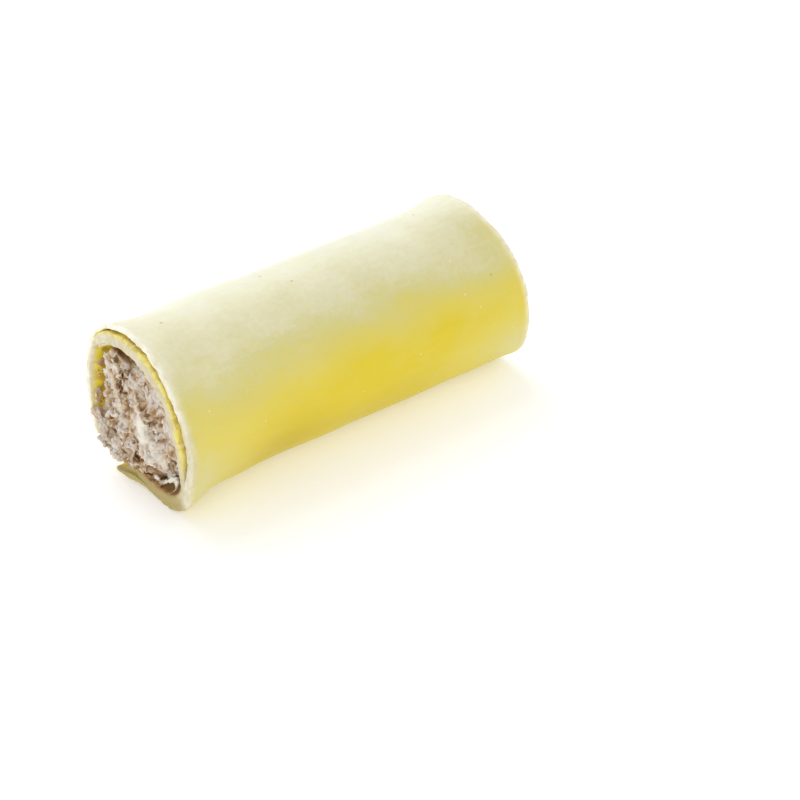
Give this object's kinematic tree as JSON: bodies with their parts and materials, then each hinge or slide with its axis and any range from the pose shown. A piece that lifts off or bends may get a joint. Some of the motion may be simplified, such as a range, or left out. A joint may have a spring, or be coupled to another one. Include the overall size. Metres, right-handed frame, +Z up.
{
  "type": "cannelloni",
  "caption": "Rolled sheet of fresh egg pasta round a minced meat filling, with open ends, lying on its side.",
  "frame": {"origin": "middle of the underside of the roll's box, on the surface that it lies on", "axes": "+X along the roll away from the end that the picture shows, +Z up"},
  "size_m": [0.084, 0.0336, 0.0334],
  "materials": {
    "pasta": "soft satin, pale cream on top and yellow along the sides",
    "meat_filling": "craggy, moist, greyish brown with pale and tan patches"
  },
  "bodies": {
    "root": {"pasta_sheet": "pasta", "filling": "meat_filling"}
  },
  "joints": []
}
